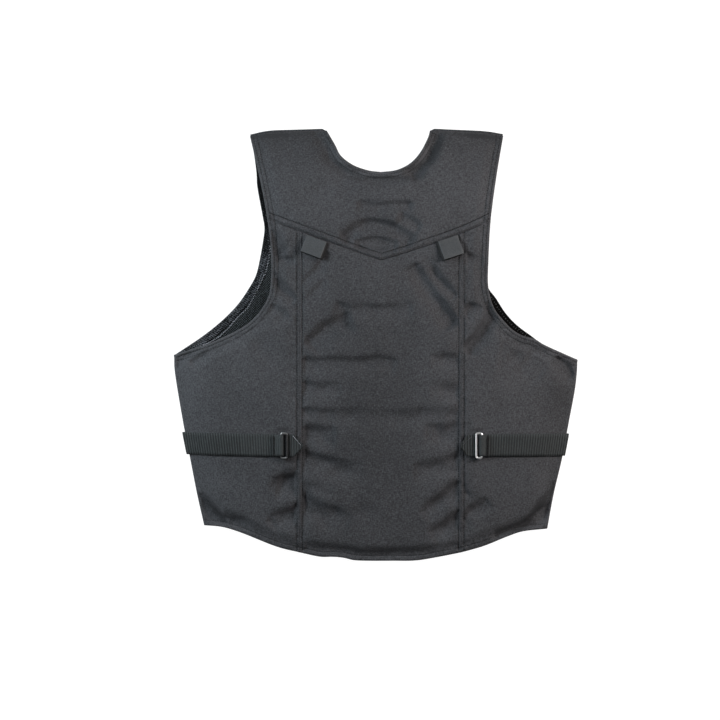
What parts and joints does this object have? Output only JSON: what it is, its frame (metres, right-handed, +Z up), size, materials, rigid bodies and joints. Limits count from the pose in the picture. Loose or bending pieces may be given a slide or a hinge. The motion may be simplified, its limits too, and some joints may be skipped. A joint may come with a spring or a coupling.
{
  "type": "padded protective vest, lying on its front",
  "caption": "Padded sleeveless protective vest with a pointed back yoke, back panels with sewn channels, and side adjusting straps, lying flat on its front.",
  "frame": {"origin": "centre of the bounding box at the floor, under the lying vest", "axes": "+Z up, out of the vest's back; +Y from the hem to the neck; +X to the wearer's right side"},
  "size_m": [0.5873, 0.6288, 0.0567],
  "materials": {
    "back_cloth": "dark grey plain woven cloth",
    "front_cloth": "dark grey plain woven cloth",
    "mesh_lining": "near-black knitted mesh",
    "webbing": "charcoal ribbed webbing",
    "metal": "bright plated wire",
    "tab": "smooth grey coated tab",
    "zip": "black closed fastening"
  },
  "bodies": {
    "root": {"back_yoke": "back_cloth", "back_center": "back_cloth", "back_side_left": "back_cloth", "back_side_right": "back_cloth", "front_left": "front_cloth", "front_right": "front_cloth", "front_lining_left": "mesh_lining", "front_lining_right": "mesh_lining", "armhole_facing_left": "front_cloth", "armhole_facing_right": "front_cloth", "front_zip": "zip", "strap_left": "webbing", "strap_right": "webbing", "strap_ring_left": "metal", "strap_ring_right": "metal", "strap_anchor_left": "webbing", "strap_anchor_right": "webbing", "yoke_tab_left": "tab", "yoke_tab_right": "tab"}
  },
  "joints": []
}
